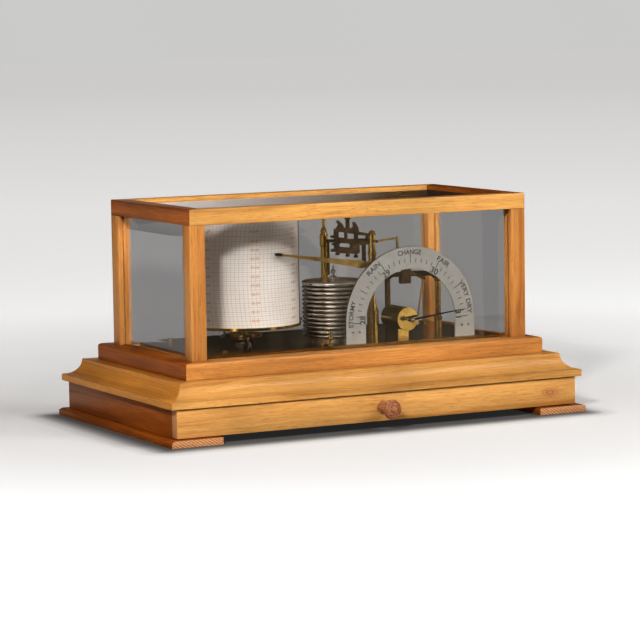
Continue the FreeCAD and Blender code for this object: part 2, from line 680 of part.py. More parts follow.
def make_main_lever():
    """The rocking arbor in the front pillar: one lever over the stack, one cranked arm to the pen."""
    over, up = "front_pillar_x", "plate_top + rocker_lift"
    plan = math.atan2(-33.0 - size("stack_y"), size("front_pillar_x") - size("stack_x") + 4.2)
    turn = FreeCAD.Rotation(FreeCAD.Vector(0, 0, 1), 180 + math.degrees(plan))
    reach = "sqrt((front_pillar_x - stack_x + 4.2)^2 + (33 + stack_y)^2)"
    arm = stamped("lever_bar", [("0", "0 - 1.6"), (f"{reach} + 1.4", "0 - 1.2"), (f"{reach} + 1.4", "1.2"),
                                ("0", "1.6")], "1.6", over, "0 - 33", up, turn)
    pieces = [rod("rocker_arbor", over, "0 - 31.2", up, "arbor_radius", "17.6", ACROSS),
              rod("rocker_hub", over, "0 - 31.6", up, "2.4", "3", ACROSS), arm,
              rod("drop_rod", "stack_x - 4.2", "stack_y", "plate_top + 54.4", "1.1", "rocker_lift - 54.4")]
    node("main_lever", joined("main_lever_set", pieces))
    node("transfer_arm", stamped("cranked_arm", [
        ("0 - 1.6", "0 - 0.8"), ("0 - 1.6", "0.8"), ("0", "0.8"), ("19.6", "2.8"), ("20.9", "2.8"),
        ("20.9", "0 - 21.5"), ("19.3", "0 - 21.5"), ("19.3", "1.1"), ("0", "0 - 0.8")],
        "1.6", over, "0 - 47.2", up))


def tilted(angle):
    """Turns a piece drawn level in the XZ plane, clockwise as seen from the front."""
    return FreeCAD.Rotation(FreeCAD.Vector(0, 1, 0), angle)


def make_pen():
    """The pen arm on its arbor, with the lever that works the dial's link."""
    at, up = "arbor_x", "plate_top + arbor_lift"
    boss = board("arm_boss", f"{at} - 4.5", "0 - 51.3", f"{up} - 11.8", "9", "5", "15.5")
    lever = stamped("link_lever", [("0", "0 - 1.4"), ("lever_length", "0 - 1.3"),
                                   ("lever_length + 1.4", "0"), ("lever_length", "1.3"), ("0", "1.4")],
                    "1.2", at, "0 - 48", up, tilted(size("lever_angle")))
    slope = math.radians(size("lever_angle"))
    pin_x = f"{at} + lever_length * {math.cos(slope):.5f}"
    pin_z = f"{up} - lever_length * {math.sin(slope):.5f}"
    pin = rod("link_pin", pin_x, "0 - 45.4", pin_z, "0.5", "3", ACROSS)
    node("pen_arbor", joined("pen_arbor_set", [
        rod("arm_arbor", at, "0 - 19.8", up, "arbor_radius", "31.4", ACROSS), boss, lever, pin]))
    turn = tilted(size("arm_angle"))
    end = "0 - arm_length"
    node("pen_arm", stamped("arm_blade", [
        ("0 - 4.5", "0 - 2.9"), ("0 - 4.5", "2.9"), ("0 - 44", "2.9"), ("0 - 96", "1.3"), (end, "0.8"),
        (end, "0 - 0.8"), ("0 - 96", "0 - 1.3"), ("0 - 44", "0 - 2.9")],
        "arm_sheet", at, "arm_y", up, turn))
    node("arm_clamp", stamped("clamp", [("0 - 46", "0 - 3.4"), ("0 - 46", "3.4"), ("0 - 42", "3.4"),
                                        ("0 - 42", "0 - 3.4")], "2", at, "arm_y", up, turn))
    node("pen_nib", stamped("nib", [
        (f"{end} + 2", "0 - 0.7"), (f"{end} + 2", "0.9"), (f"{end} - 3", "1.3"), (f"{end} - 6", "0.3"),
        (f"{end} - 4.5", "0 - 1.4"), (f"{end} - 1", "0 - 1.2")], "3.2", at, "arm_y + 1.7", up, turn))
    crank_slope = math.radians(size("crank_angle"))
    drop = (size("arbor_lift") - size("dial_lift") - size("lever_length") * math.sin(slope)
            + size("crank_length") * math.sin(crank_slope))
    run = size("lever_length") * math.cos(slope) - size("crank_length") * math.cos(crank_slope)
    long = f"{math.hypot(drop, run):.4f}"
    link = stamped("link", [
        ("0 - 1.6", "1.2"), ("0 - 1.2", "1.6"), ("1.2", "1.6"), ("1.6", "1.2"), ("1.6", "0 - 1.2"),
        ("0.6", "0 - 2.4"), ("0.6", f"2.4 - {long}"), ("1.6", f"1.2 - {long}"), ("1.6", f"0 - 1.2 - {long}"),
        ("1.2", f"0 - 1.6 - {long}"), ("0 - 1.2", f"0 - 1.6 - {long}"), ("0 - 1.6", f"0 - 1.2 - {long}"),
        ("0 - 1.6", f"1.2 - {long}"), ("0 - 0.6", f"2.4 - {long}"), ("0 - 0.6", "0 - 2.4"),
        ("0 - 1.6", "0 - 1.2")], "0.8", pin_x, "0 - 46.2", pin_z, tilted(math.degrees(math.atan2(run, drop))))
    doc.recompute()
    node("link_rod", with_hole(link, "link_eye", "XZ_Plane", "0", "0", "0.6"))


# ---- the dial --------------------------------------------------------------------------------------

def make_dial():
    """A half-ring dial on two straight legs, its fixings, and the barrel and hand behind and before it."""
    at, up = "arbor_x", "plate_top + dial_lift"
    face = "dial_y - dial_sheet / 2"
    body = new_body("dial")
    ring = sketch(body, "dial_ring", "XZ_Plane")
    circle(ring, "0", "0", "dial_outer")
    circle(ring, "0", "0", "dial_inner")
    pad(body, ring, "dial_sheet", both_ways=True)
    lower = sketch(body, "dial_lower_half", "XZ_Plane")
    wide = "dial_outer + 5"
    outline(lower, [(f"0 - ({wide})", f"0 - ({wide})"), (wide, f"0 - ({wide})"), (wide, "0"),
                    (f"0 - ({wide})", "0")])
    pocket(body, lower)
    legs = sketch(body, "dial_legs", "XZ_Plane")
    for low, high in (("0 - dial_outer", "0 - dial_inner"), ("dial_inner", "dial_outer")):
        outline(legs, [(low, "0 - dial_lift"), (high, "0 - dial_lift"), (high, "0"), (low, "0")])
    pad(body, legs, "dial_sheet", both_ways=True)
    node("dial_arch", place(body, at, face, up))
    fixings = []
    middle = "(dial_outer + dial_inner) / 2"
    for side in ("0 - ", ""):
        x = f"{at} + {side}({middle}) - 5"
        fixings.append(joined(f"bracket_{len(fixings)}", [
            board(f"bracket_tab_{len(fixings)}", x, "dial_y", "plate_top", "10", "1.2", "13"),
            board(f"bracket_foot_{len(fixings)}", x, "dial_y", "plate_top", "10", "8", "1.2")]))
        for shift in (" - 3.2", " + 3.2"):
            fixings.append(rod(f"rivet_{len(fixings)}", f"{at} + {side}({middle}){shift}",
                               "dial_y - dial_sheet", "plate_top + 9.4", "0.9", "0.5", ACROSS))
    node("dial_fixings", joined("dial_fixing_set", fixings))
    make_barrel(at, up)
    make_hand(at, up)


def make_barrel(at, up):
    """The brass barrel that carries the hand's arbor, with a slot for the crank, on a short foot."""
    bore, wall, long = "arbor_radius + running_gap", "barrel_wall", "barrel_length"
    shell = turned("barrel", [(bore, "0"), ("barrel_radius", "0"), ("barrel_radius", long), (bore, long),
                              (bore, f"{long} - {wall}"), (f"barrel_radius - {wall}", f"{long} - {wall}"),
                              (f"barrel_radius - {wall}", wall), (bore, wall)],
                   at, f"barrel_front + {long}", up, ACROSS)
    foot = board("barrel_foot", f"{at} - 5", "barrel_front + 8", "plate_top", "10", "18",
                 "dial_lift - barrel_radius + 0.9")
    slot = board("barrel_slot", f"{at} + 4", "0 - 49.4", f"{up} - 8.6", "8", "2.8", "14.6")
    node("dial_barrel", cut("barrel_slotted", joined("barrel_on_foot", [shell, foot]), slot))
    end = f"dial_pillar_x - {at} + 3.2"
    bridge = stamped("cock", [
        ("0 - 3.6", "0"), ("0 - 0.4", "0"), ("0 - 0.4", "48"), ("2", "49.6"), ("11.7", "49.6"),
        ("11.7", "45.4"), ("18.6", "45.4"), ("18.6", "49.4"), (f"{end} - 9", "48.6"), (f"{end} - 6.4", "46"),
        (end, "46"), (end, "50"), (f"{end} - 3", "53"), ("6", "54"), ("4.4", "arbor_lift"),
        ("2.6", "arbor_lift + 3.6"), ("0 - 2.6", "arbor_lift + 3.6"), ("0 - 4.4", "arbor_lift"),
        ("0 - 3.6", "50")], "4", at, "cock_y", "plate_top")
    doc.recompute()
    node("arbor_bridge", with_hole(bridge, "arbor_hole", "XZ_Plane", "0", "arbor_lift",
                                   "arbor_radius + running_gap"))
    node("dial_pillar", turned("dial_column", [
        ("0", "0"), ("3.2", "0"), ("3.2", "11"), ("3.8", "11.6"), ("3.8", "13"), ("2.6", "13.8"),
        ("2.6", "44"), ("3.2", "45"), ("3.2", "46"), ("0", "46")], "dial_pillar_x", "cock_y", "plate_top"))


def make_hand(at, up):
    """The hand on its arbor, which the crank turns."""
    node("dial_hand", stamped("hand", [
        ("0 - 3.6", "0 - 0.6"), ("0 - 3.6", "0.6"), ("0 - 2", "0.9"), ("0", "2.1"), ("2", "0.9"),
        ("30", "0.6"), ("hand_length", "0.15"), ("hand_length", "0 - 0.15"), ("30", "0 - 0.6"),
        ("2", "0 - 0.9"), ("0", "0 - 2.1"), ("0 - 2", "0 - 0.9")], "0.4", at, "0 - 59.7", up, tilted(-size("hand_angle"))))
    crank = stamped("crank", [("0", "0 - 1.3"), ("crank_length", "0 - 1.2"), ("crank_length + 1.3", "0"),
                              ("crank_length", "1.2"), ("0", "1.3")], "1", at, "0 - 48", up,
                    tilted(size("crank_angle")))
    node("dial_arbor", joined("dial_arbor_set", [
        rod("hand_arbor", at, "barrel_front + barrel_length - 0.6", up, "arbor_radius", "36", ACROSS),
        ball("arbor_ball", at, "0 - 61", up, "2.2"), crank]))


def make_adjuster():
    """The little turned handle at the plate's front edge, under the stack."""
    node("adjusting_handle", turned("handle", [
        ("0", "0"), ("2.8", "0"), ("2.8", "1.2"), ("1.4", "2"), ("1.2", "4.6"), ("2.2", "6"), ("2.2", "7.6"),
        ("1", "8.6"), ("1", "10.2"), ("1.9", "11.2"), ("1.9", "12.4"), ("0", "13.6")],
        "0 - 21.3", "0 - 58.6", "plate_top"))


# ---- build and write -------------------------------------------------------------------------------

def check():
    """Stops if any object failed to recompute or any sub-part isn't a valid closed solid."""
    for thing in doc.Objects:
        if {"Invalid", "Error"} & set(thing.State):
            raise SystemExit(f"{thing.Name} failed: {thing.State}")
    for label, thing in NODES.items():
        shape = thing.Shape
        if shape.isNull() or not shape.isValid() or not shape.Solids or shape.Volume <= 0:
            raise SystemExit(f"{label} isn't a valid solid")


fill_sheet()
for make in (make_feet, make_box, make_mouldings, make_drawer, make_cover_frame, make_panes, make_plate,
             make_drum, make_stack, make_pillars, make_bridge, make_main_lever, make_pen, make_dial,
             make_adjuster):
    make()
doc.recompute()
check()
os.makedirs("parts", exist_ok=True)
for label, thing in NODES.items():
    thing.Shape.exportStep(f"parts/{label}.step")
print(len(NODES), "sub-parts written")
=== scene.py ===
"""Looks of a barograph: a recording barometer under a glazed oak cover on a moulded oak base."""

import json
import math

import bmesh
import bpy
from mathutils import Matrix, Vector


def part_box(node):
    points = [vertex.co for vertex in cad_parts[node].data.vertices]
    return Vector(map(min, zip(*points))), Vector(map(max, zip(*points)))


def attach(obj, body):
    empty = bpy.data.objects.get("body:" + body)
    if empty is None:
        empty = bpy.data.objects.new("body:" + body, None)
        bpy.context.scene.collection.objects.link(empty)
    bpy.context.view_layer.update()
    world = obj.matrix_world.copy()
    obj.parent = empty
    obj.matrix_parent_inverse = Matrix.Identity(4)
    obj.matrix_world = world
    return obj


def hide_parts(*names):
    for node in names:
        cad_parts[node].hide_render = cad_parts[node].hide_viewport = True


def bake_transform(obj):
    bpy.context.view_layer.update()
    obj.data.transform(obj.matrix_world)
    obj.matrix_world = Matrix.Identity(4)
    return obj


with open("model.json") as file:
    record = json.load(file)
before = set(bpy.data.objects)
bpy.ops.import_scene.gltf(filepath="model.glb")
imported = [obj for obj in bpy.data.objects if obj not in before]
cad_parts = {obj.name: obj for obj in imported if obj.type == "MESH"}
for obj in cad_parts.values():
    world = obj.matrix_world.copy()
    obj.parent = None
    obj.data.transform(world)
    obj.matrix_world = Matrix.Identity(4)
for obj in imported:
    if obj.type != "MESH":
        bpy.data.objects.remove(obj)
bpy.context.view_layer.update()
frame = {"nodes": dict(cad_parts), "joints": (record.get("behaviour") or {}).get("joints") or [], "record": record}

MM = 0.001
X, Y, Z = Vector((1, 0, 0)), Vector((0, 1, 0)), Vector((0, 0, 1))


# ---------------------------------------------------------------- places, from the frame

def middle(a, b):
    return (a + b) / 2


DRUM_LOW, DRUM_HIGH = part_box("chart_paper")
DRUM_AXIS = middle(DRUM_LOW, DRUM_HIGH)
DRUM_R = (DRUM_HIGH.x - DRUM_LOW.x) / 2
DIAL_LOW, DIAL_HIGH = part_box("dial_arch")
HUB = next(Vector(j["pos_m"]) for j in frame["joints"] if j["name"] == "hand_turn")
PEN_PIVOT = next(Vector(j["pos_m"]) for j in frame["joints"] if j["name"] == "pen_swing")


# ---------------------------------------------------------------- node helpers

class Graph:
    """A material's node tree, with short calls for the nodes used here."""

    def __init__(self, name):
        self.material = bpy.data.materials.new(name)
        self.material.use_nodes = True
        self.tree = self.material.node_tree
        self.shader = self.tree.nodes["Principled BSDF"]
        self.coords = self.add("ShaderNodeTexCoord").outputs["Object"]

    def add(self, kind, **settings):
        node = self.tree.nodes.new(kind)
        for key, value in settings.items():
            setattr(node, key, value)
        return node

    def link(self, source, target):
        self.tree.links.new(source, target)

    def put(self, target, value):
        """Gives an input a number or another node's output."""
        if isinstance(value, bpy.types.NodeSocket):
            self.link(value, target)
        else:
            target.default_value = value

    def math(self, operation, *values):
        node = self.add("ShaderNodeMath", operation=operation)
        for target, value in zip(node.inputs, values):
            self.put(target, value)
        return node.outputs[0]

    def mapping(self, scale=(1, 1, 1), move=(0, 0, 0), turn=(0, 0, 0), source=None):
        node = self.add("ShaderNodeMapping")
        self.link(source or self.coords, node.inputs["Vector"])
        node.inputs["Location"].default_value = move
        node.inputs["Rotation"].default_value = turn
        node.inputs["Scale"].default_value = scale
        return node.outputs[0]

    def noise(self, vector, scale=1.0, detail=3.0, roughness=0.5):
        node = self.add("ShaderNodeTexNoise")
        self.link(vector, node.inputs["Vector"])
        node.inputs["Scale"].default_value = scale
        node.inputs["Detail"].default_value = detail
        node.inputs["Roughness"].default_value = roughness
        return node.outputs["Fac"]

    def ramp(self, factor, *stops):
        """Stops are (position, colour or grey)."""
        node = self.add("ShaderNodeValToRGB")
        self.link(factor, node.inputs["Fac"])
        band = node.color_ramp
        while len(band.elements) < len(stops):
            band.elements.new(0.5)
        for element, (position, colour) in zip(band.elements, stops):
            element.position = position
            shade = colour if hasattr(colour, "__len__") else (colour,) * 3
            element.color = (*shade, 1)
        return node.outputs["Color"]

    def mix(self, factor, a, b, blend="MIX"):
        node = self.add("ShaderNodeMix", data_type="RGBA", blend_type=blend)
        self.put(node.inputs["Factor"], factor)
        for target, value in ((node.inputs["A"], a), (node.inputs["B"], b)):
            self.put(target, (*value, 1) if isinstance(value, tuple) else value)
        return node.outputs["Result"]

    def bump(self, height, depth, strength=1.0):
        node = self.add("ShaderNodeBump")
        node.inputs["Strength"].default_value = strength
        node.inputs["Distance"].default_value = depth
        self.link(height, node.inputs["Height"])
        self.link(node.outputs["Normal"], self.shader.inputs["Normal"])

    def set(self, **values):
        for key, value in values.items():
            target = self.shader.inputs[key.replace("_", " ")]
            self.put(target, value)
        return self.material


# ---------------------------------------------------------------- materials

KNOT_RING_GAP = 1.6 * MM
GRAIN_TURN = {"x": (0, 0, 0), "y": (0, 0, math.pi / 2), "z": (0, math.pi / 2, 0)}


def oak(name, along, seed, light, dark, ring_gap=7.0, knot=None):
    """Golden oak. along is the axis that the grain follows, seed moves the pattern, ring_gap is in mm.
    knot is a (place, size) pair for a small round knot."""
    g = Graph(name)
    turned = g.mapping(turn=GRAIN_TURN[along], move=(seed * 1.37, seed * 0.61, seed * 0.29))
    wander = g.noise(g.mapping(scale=(5, 22, 22), source=turned), detail=2)
    shifted = g.add("ShaderNodeVectorMath", operation="ADD")
    g.link(turned, shifted.inputs[0])
    drift = g.add("ShaderNodeCombineXYZ")
    for axis in ("Y", "Z"):
        g.link(g.math("MULTIPLY", wander, 0.016), drift.inputs[axis])
    g.link(drift.outputs[0], shifted.inputs[1])
    bent = shifted.outputs[0]

    rings_each_metre = 1000 / ring_gap
    ring_scale = (3.2, rings_each_metre, rings_each_metre)
    rings = g.noise(g.mapping(scale=ring_scale, source=bent), detail=5, roughness=0.66)
    streaks = g.noise(g.mapping(scale=(12, 820, 820), source=bent), detail=2, roughness=0.6)
    fibres = g.noise(g.mapping(scale=(22, 1500, 1500), source=bent), detail=3, roughness=0.6)
    pores = g.noise(g.mapping(scale=(110, 2100, 2100), source=bent), detail=1)
    patches = g.noise(turned, scale=11, detail=2)

    between = tuple(0.35 * d + 0.65 * l for d, l in zip(dark, light))
    tone = g.ramp(rings, (0.30, dark), (0.44, between), (0.62, light))
    tone = g.mix(g.ramp(fibres, (0.35, 0.34), (0.62, 0.0)), tone, dark)
    tone = g.mix(g.ramp(streaks, (0.36, 0.30), (0.52, 0.0)), tone, dark)
    pits = g.ramp(pores, (0.32, 1.0), (0.40, 0.0))
    tone = g.mix(g.math("MULTIPLY", pits, 0.34), tone, tuple(0.55 * d for d in dark))
    tone = g.mix(1.0, tone, g.ramp(patches, (0.3, 0.84), (0.7, 1.08)), "MULTIPLY")
    if knot is not None:
        place, size = knot
        away = g.add("ShaderNodeVectorMath", operation="SUBTRACT")
        g.link(g.coords, away.inputs[0])
        away.inputs[1].default_value = place
        squeezed = g.mapping(scale=(0.45, 1, 1), source=away.outputs[0])
        reach = g.add("ShaderNodeVectorMath", operation="LENGTH")
        g.link(squeezed, reach.inputs[0])
        ripple = g.math("ADD", reach.outputs["Value"], g.math("MULTIPLY", wander, 0.006))
        core = g.ramp(g.math("DIVIDE", ripple, size), (0.6, 0.95), (1.3, 0.0))
        waves = g.ramp(g.math("FRACT", g.math("DIVIDE", ripple, KNOT_RING_GAP)), (0.2, 0.3), (0.6, 1.0))
        tone = g.mix(g.math("MULTIPLY", core, waves), tone, (0.42, 0.16, 0.07))
    relief = g.math("SUBTRACT", g.math("MULTIPLY", fibres, 0.5), g.math("MULTIPLY", pits, 0.9))
    g.bump(relief, 0.00012, 0.6)
    gloss = g.math("ADD", g.math("MULTIPLY", fibres, 0.16), 0.30)
    g.set(Base_Color=tone, Roughness=gloss)
    return g.set(Specular_IOR_Level=0.25, Coat_Weight=0.05, Coat_Roughness=0.22)


def end_grain(name, light, dark):
    """Sawn end of a board: close annual rings that cross the face."""
    g = Graph(name)
    waves = g.add("ShaderNodeTexWave", wave_type="BANDS", bands_direction="DIAGONAL")
    g.link(g.mapping(scale=(180, 180, 280)), waves.inputs["Vector"])
    for key, value in (("Scale", 1.0), ("Distortion", 2.2), ("Detail", 2.0), ("Detail Scale", 1.4)):
        waves.inputs[key].default_value = value
    dots = g.noise(g.coords, scale=1400, detail=1)
    tone = g.ramp(waves.outputs["Fac"], (0.2, dark), (0.75, light))
    tone = g.mix(g.ramp(dots, (0.36, 0.5), (0.46, 0.0)), tone, tuple(0.5 * d for d in dark))
    g.bump(dots, 0.00015, 0.5)
    return g.set(Base_Color=tone, Roughness=0.55)


def turned_wood(name):
    """Reddish knob wood, with the fine grain that turning leaves."""
    g = Graph(name)
    grain = g.noise(g.mapping(scale=(900, 60, 900)), detail=4, roughness=0.6)
    flecks = g.noise(g.coords, scale=1500, detail=2)
    tone = g.ramp(grain, (0.3, (0.24, 0.09, 0.040)), (0.7, (0.56, 0.28, 0.14)))
    tone = g.mix(g.ramp(flecks, (0.3, 0.6), (0.5, 0.0)), tone, (0.07, 0.022, 0.012))
    g.bump(grain, 0.00008, 0.5)
    g.set(Base_Color=tone, Roughness=g.math("ADD", g.math("MULTIPLY", grain, 0.2), 0.24))
    return g.set(Coat_Weight=0.4, Coat_Roughness=0.18)


def metal(name, bright, dull, smooth=0.14, rough=0.3, grain=(1, 1, 1), marks=0.00003, scale=90.0, weight=1.0):
    """A lacquered or plated metal. grain stretches the marks that turning or brushing left."""
    g = Graph(name)
    cloud = g.noise(g.coords, scale=scale, detail=4, roughness=0.6)
    lines = g.noise(g.mapping(scale=tuple(900 * s for s in grain)), detail=3)
    tone = g.ramp(cloud, (0.32, dull), (0.62, bright))
    g.bump(lines, marks, 0.6)
    spread = g.ramp(g.math("ADD", g.math("MULTIPLY", cloud, 0.7), g.math("MULTIPLY", lines, 0.3)),
                    (0.34, rough), (0.66, smooth))
    g.set(Base_Color=tone, Roughness=spread)
    return g.set(Metallic=weight)


def glass(name):
    """Clear pane, a little uneven, with faint smears."""
    g = Graph(name)
    swell = g.noise(g.coords, scale=26, detail=1)
    smear = g.noise(g.mapping(scale=(14, 14, 5)), detail=5, roughness=0.7)
    g.bump(swell, 0.00004, 0.25)
    g.set(Base_Color=(0.93, 0.945, 0.945, 1), Roughness=g.ramp(smear, (0.5, 0.0), (0.8, 0.03)))
    return g.set(Transmission_Weight=1.0, IOR=1.5)


def cylinder_angle(g, axis):
    """Sockets for the angle round a vertical axis, from the front to the right, and for the height."""
    moved = g.mapping(move=(-axis.x, -axis.y, 0))
    parts = g.add("ShaderNodeSeparateXYZ")
    g.link(moved, parts.inputs[0])
    across, deep, height = parts.outputs
    return g.math("ARCTAN2", across, g.math("MULTIPLY", deep, -1.0)), height


def ruled(g, value, gap, width):
    """1 on lines of that width every gap, else 0."""
    share = g.math("FRACT", g.math("DIVIDE", value, gap))
    near = g.math("MULTIPLY", g.math("ABSOLUTE", g.math("SUBTRACT", share, 0.5)), gap)
    return g.math("LESS_THAN", g.math("SUBTRACT", gap / 2, near), width / 2)


ROW_GAP = 7.28 * MM
ROW_LOW = 6.0 * MM
DAY = math.radians(360 / 7.07)
FIRST_COLUMN = math.radians(-13.5)
ARC_RADIUS = 119 * MM
BOW_EASE = 2.5


def chart(name):
    """Printed weekly chart: straight pressure lines, and time lines with a share, 1 / BOW_EASE, of the
    bow of an arc of ARC_RADIUS about the pen's pivot."""
    g = Graph(name)
    angle, height = cylinder_angle(g, DRUM_AXIS)
    rise = g.math("SUBTRACT", height, PEN_PIVOT.z)
    forward = g.math("SQRT", g.math("SUBTRACT", ARC_RADIUS * ARC_RADIUS, g.math("MULTIPLY", rise, rise)))
    bow = g.math("SUBTRACT", ARC_RADIUS, forward)
    turn = g.math("ADD", g.math("SUBTRACT", angle, FIRST_COLUMN + DAY / 24), 20 * math.pi)
    time = g.math("SUBTRACT", turn, g.math("DIVIDE", bow, BOW_EASE * DRUM_R))
    low = g.math("SUBTRACT", height, DRUM_LOW.z + ROW_LOW - 10 * ROW_GAP)
    hours = ruled(g, time, DAY / 12, 0.010)
    fine = ruled(g, low, ROW_GAP / 4, 0.00035)
    bold = ruled(g, low, ROW_GAP / 2, 0.00045)
    tint = g.noise(g.coords, scale=30, detail=2)
    paper = g.ramp(tint, (0.3, (0.57, 0.54, 0.50)), (0.7, (0.64, 0.62, 0.59)))
    brown_ink = (0.40, 0.20, 0.13)
    tone = paper
    for lines, strength in ((fine, 0.30), (bold, 0.30), (hours, 0.36)):
        tone = g.mix(g.math("MULTIPLY", lines, strength), tone, brown_ink)
    fibre = g.noise(g.coords, scale=2200, detail=3)
    g.bump(fibre, 0.00003, 0.4)
    return g.set(Base_Color=tone, Roughness=0.72, Sheen_Weight=0.08)


def ink(name, colour):
    """Printed or filled lettering, a little worn."""
    g = Graph(name)
    worn = g.noise(g.coords, scale=1600, detail=2)
    pale = tuple(1.4 * c + 0.02 for c in colour)
    g.set(Base_Color=g.ramp(worn, (0.35, colour), (0.75, pale)))
    return g.set(Roughness=0.5)


OAK_LIGHT = (0.68, 0.41, 0.145)
OAK_DARK = (0.42, 0.20, 0.052)
# Side tones for the side rails, side boards and feet: a redder oak, made much darker than the front oak as painted
# shade on the side faces.
SHADED_SIDE_LIGHT = (0.44, 0.145, 0.016)
SHADED_SIDE_DARK = (0.15, 0.038, 0.004)

FRONT_LOW, FRONT_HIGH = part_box("drawer_front")
KNOT_PLACE = Vector((FRONT_HIGH.x - 25 * MM, FRONT_LOW.y, middle(FRONT_LOW.z, FRONT_HIGH.z)))

LOOKS = {
    "front_rail": oak("oak_front_rail", "x", 1, OAK_LIGHT, OAK_DARK),
    "front_rail_red": oak("oak_front_rail_red", "x", 5, (0.64, 0.34, 0.11), (0.40, 0.165, 0.04)),
    "rear_rail": oak("oak_rear_rail", "x", 2, OAK_LIGHT, OAK_DARK),
    "side_rail": oak("oak_side_rail_shaded", "y", 3, SHADED_SIDE_LIGHT, SHADED_SIDE_DARK),
    "side_board": oak("oak_side_board_shaded", "y", 6, SHADED_SIDE_LIGHT, SHADED_SIDE_DARK, 9.0),
    "post": oak("oak_post", "z", 4, (0.58, 0.31, 0.10), (0.36, 0.14, 0.035), 5.0),
    "moulding": oak("oak_moulding", "x", 8, OAK_LIGHT, OAK_DARK, 8.0),
    # The side mouldings' oak: a redder oak, a little darker than the front moulding's as painted shade on the side
    # faces.
    "moulding_side": oak("oak_moulding_side_shaded", "y", 9, (0.66, 0.33, 0.075), (0.42, 0.18, 0.035), 8.0),
    "drawer_front": oak("oak_drawer_front", "x", 11, (0.74, 0.45, 0.17), (0.50, 0.25, 0.07), 9.0,
                        knot=(KNOT_PLACE, 0.0095)),
    "inner": oak("oak_inner", "x", 12, (0.50, 0.33, 0.15), (0.34, 0.19, 0.07), 8.0),
    "foot": oak("oak_foot_shaded", "y", 13, SHADED_SIDE_LIGHT, SHADED_SIDE_DARK, 6.0),
    "foot_end": end_grain("oak_end_grain", (0.68, 0.39, 0.20), (0.43, 0.21, 0.09)),
    "knob": turned_wood("knob_wood"),
    "glass": glass("pane_glass"),
    "brass": metal("brass_polished", (0.86, 0.64, 0.24), (0.66, 0.46, 0.15), 0.09, 0.18),
    "plate": metal("brass_plate", (0.42, 0.29, 0.11), (0.24, 0.16, 0.06), 0.12, 0.24, (1, 6, 1)),
    "dark_brass": metal("brass_dull", (0.62, 0.44, 0.18), (0.40, 0.28, 0.11), 0.26, 0.42),
    "bronze": metal("bronze_dark", (0.20, 0.13, 0.06), (0.06, 0.038, 0.022), 0.22, 0.40),
    "steel": metal("steel_turned", (0.62, 0.61, 0.58), (0.42, 0.41, 0.39), 0.15, 0.3),
    "nickel": metal("nickel_plate", (0.74, 0.72, 0.68), (0.52, 0.50, 0.46), 0.12, 0.25),
    "capsule": metal("capsule_plate", (0.86, 0.83, 0.78), (0.76, 0.72, 0.67), 0.20, 0.26, (1, 1, 4),
                     marks=0.004 * MM, scale=30.0),
    "silvered": metal("dial_silvered", (0.345, 0.33, 0.31), (0.305, 0.292, 0.274), 0.45, 0.55, weight=0.3),
    "blued": metal("steel_blued", (0.05, 0.05, 0.07), (0.02, 0.02, 0.03), 0.25, 0.4),
    "chart": chart("chart_print"),
    "black_ink": ink("filled_black", (0.02, 0.02, 0.022)),
    "red_ink": ink("printed_red", (0.42, 0.22, 0.13)),
}

NODE_LOOKS = {
    "feet": "foot", "side_boards": "side_board", "back_board": "rear_rail", "bottom_board": "inner",
    "deck_board": "inner", "plinth_board": "inner", "moulding_front": "moulding", "moulding_rear": "moulding",
    "moulding_left": "moulding_side", "moulding_right": "moulding_side", "case_screws": "brass",
    "drawer_front": "drawer_front", "drawer_sides": "inner", "drawer_back": "inner", "drawer_bottom": "inner",
    "drawer_knob": "knob", "base_rail_front": "front_rail_red", "base_rail_rear": "rear_rail",
    "base_rail_left": "side_rail", "base_rail_right": "side_rail", "corner_posts": "post",
    "top_rail_front": "front_rail", "top_rail_rear": "rear_rail", "top_rail_left": "side_rail",
    "top_rail_right": "side_rail", "pane_front": "glass", "pane_rear": "glass", "pane_left": "glass",
    "pane_right": "glass", "pane_top": "glass", "base_plate": "plate", "clock_drum": "brass",
    "drum_cap": "brass", "chart_paper": "chart", "chart_clip": "nickel", "clock_movement": "brass",
    "drum_spindle": "steel",
    "fixed_wheel": "brass", "drive_pinion": "steel", "aneroid_stack": "capsule", "capsule_spindle": "steel",
    "rear_pillar": "brass", "front_pillar": "brass", "bridge_frame": "bronze", "bridge_screws": "bronze",
    "main_lever": "bronze", "transfer_arm": "dark_brass", "pen_arbor": "bronze", "pen_arm": "dark_brass",
    "arm_clamp": "dark_brass", "pen_nib": "bronze", "link_rod": "dark_brass", "dial_arch": "silvered",
    "dial_fixings": "steel", "dial_barrel": "brass", "arbor_bridge": "bronze", "dial_pillar": "brass",
    "dial_hand": "blued", "dial_arbor": "steel", "adjusting_handle": "brass",
}


def dress(obj, look):
    """Gives an object one finish."""
    obj.data.materials.clear()
    obj.data.materials.append(LOOKS[look])


for node, obj in frame["nodes"].items():
    dress(obj, NODE_LOOKS[node])
    if node.startswith("pane_"):
        obj.visible_shadow = False


# ---------------------------------------------------------------- mesh helpers

SLOT_OF = {row["node"]: row["material_slot"] for row in frame["record"]["subparts"]}
BODY_OF = {node: body for body, nodes in frame["record"]["behaviour"]["bodies"].items() for node in nodes}


def finish_mesh(obj, sharp=35):
    """Smooth shading, but hard at edges that turn by more than that many degrees."""
    obj.data.shade_smooth()
    obj.data.set_sharp_from_angle(angle=math.radians(sharp))


def add_piece(name, mesh, look, body, slot):
    """A new piece in place, on its body, with its look. The slot is not used."""
    obj = bpy.data.objects.new(name, mesh)
    bpy.context.scene.collection.objects.link(obj)
    dress(obj, look)
    finish_mesh(obj)
    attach(obj, body)
    return obj


